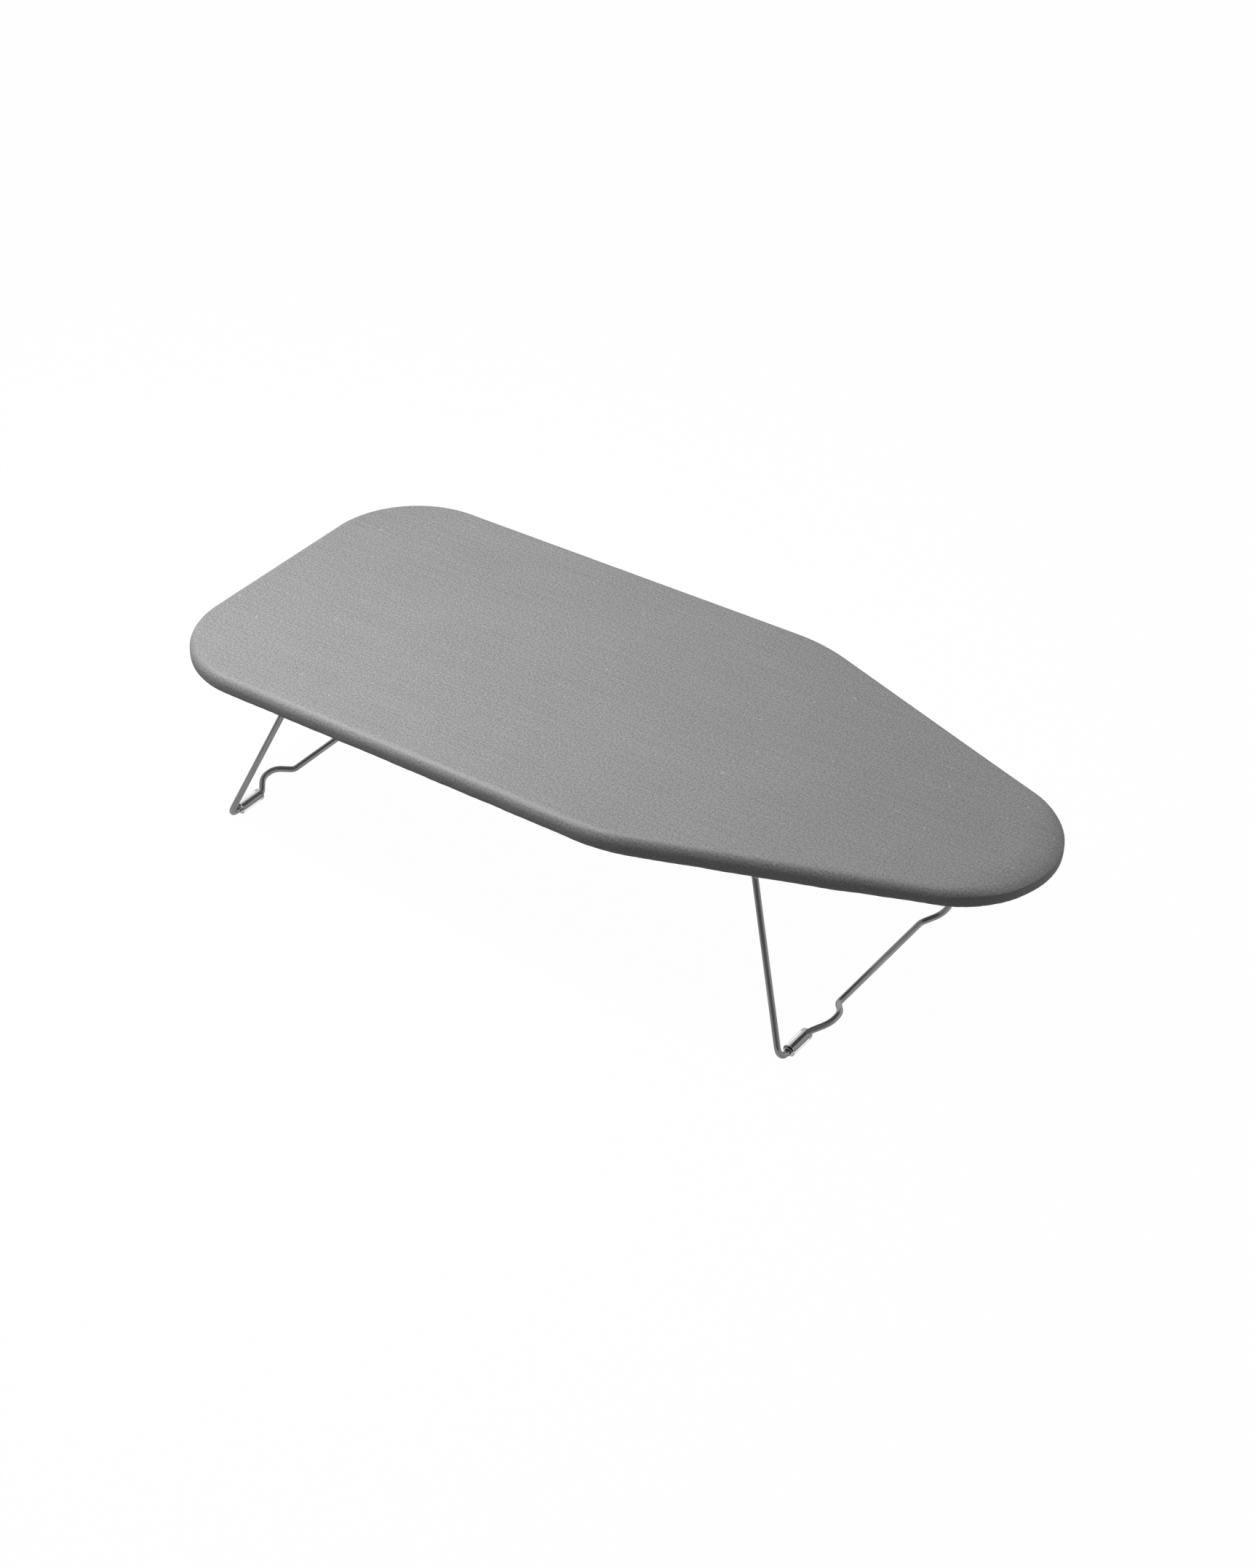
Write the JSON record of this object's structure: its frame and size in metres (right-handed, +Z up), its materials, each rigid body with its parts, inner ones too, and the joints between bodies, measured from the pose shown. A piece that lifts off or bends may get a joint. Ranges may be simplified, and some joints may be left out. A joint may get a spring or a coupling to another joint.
{
  "type": "tabletop ironing board",
  "caption": "Low ironing board for a table: a padded, cloth-covered board with a round nose on folding bent-wire legs with clear foot sleeves.",
  "frame": {"origin": "on the table, under the middle of the board", "axes": "+X along the board towards its nose, +Y to the left of someone looking along +X, +Z up"},
  "size_m": [0.73, 0.32, 0.157],
  "materials": {
    "cover_cloth": "plain woven grey cloth, matt with a fine grain",
    "foam": "open-cell foam, matt",
    "frame_steel": "zinc-plated sheet and tube, satin",
    "bracket_steel": "zinc-plated pressed sheet, satin",
    "rivet_steel": "bright steel rivets",
    "leg_wire": "drawn steel wire, satin grey with a lighter streak",
    "clear_sleeve": "clear soft plastic tube, glossy",
    "elastic": "braided elastic, matt",
    "cap_plastic": "moulded black plastic, satin"
  },
  "bodies": {
    "board": {"cover": "cover_cloth", "foam_pad": "foam", "mesh_panel": "frame_steel", "rim_frame": "frame_steel", "front_cross_rail": "frame_steel", "rear_cross_rail": "frame_steel", "spine_rail": "frame_steel", "hem_elastic": "elastic", "front_left_hinge_bracket": "bracket_steel", "front_right_hinge_bracket": "bracket_steel", "rear_left_hinge_bracket": "bracket_steel", "rear_right_hinge_bracket": "bracket_steel", "front_left_rivet_1": "rivet_steel", "front_left_rivet_2": "rivet_steel", "front_right_rivet_1": "rivet_steel", "front_right_rivet_2": "rivet_steel", "rear_left_rivet_1": "rivet_steel", "rear_left_rivet_2": "rivet_steel", "rear_right_rivet_1": "rivet_steel", "rear_right_rivet_2": "rivet_steel"},
    "front_leg": {"front_leg_wire": "leg_wire", "front_left_foot_sleeve": "clear_sleeve", "front_right_foot_sleeve": "clear_sleeve", "front_left_pivot_cap": "cap_plastic", "front_right_pivot_cap": "cap_plastic"},
    "rear_leg": {"rear_leg_wire": "leg_wire", "rear_left_foot_sleeve": "clear_sleeve", "rear_right_foot_sleeve": "clear_sleeve", "rear_left_pivot_cap": "cap_plastic", "rear_right_pivot_cap": "cap_plastic"}
  },
  "joints": [
    {"name": "front_leg_fold", "type": "hinge", "parent": "board", "child": "front_leg", "pos_m": [0.1755, 0, 0.1374], "axis": [0, 1, 0], "range_deg": [0, 111.8]},
    {"name": "rear_leg_fold", "type": "hinge", "parent": "board", "child": "rear_leg", "pos_m": [-0.254, 0, 0.1374], "axis": [0, -1, 0], "range_deg": [0, 111.8]}
  ]
}
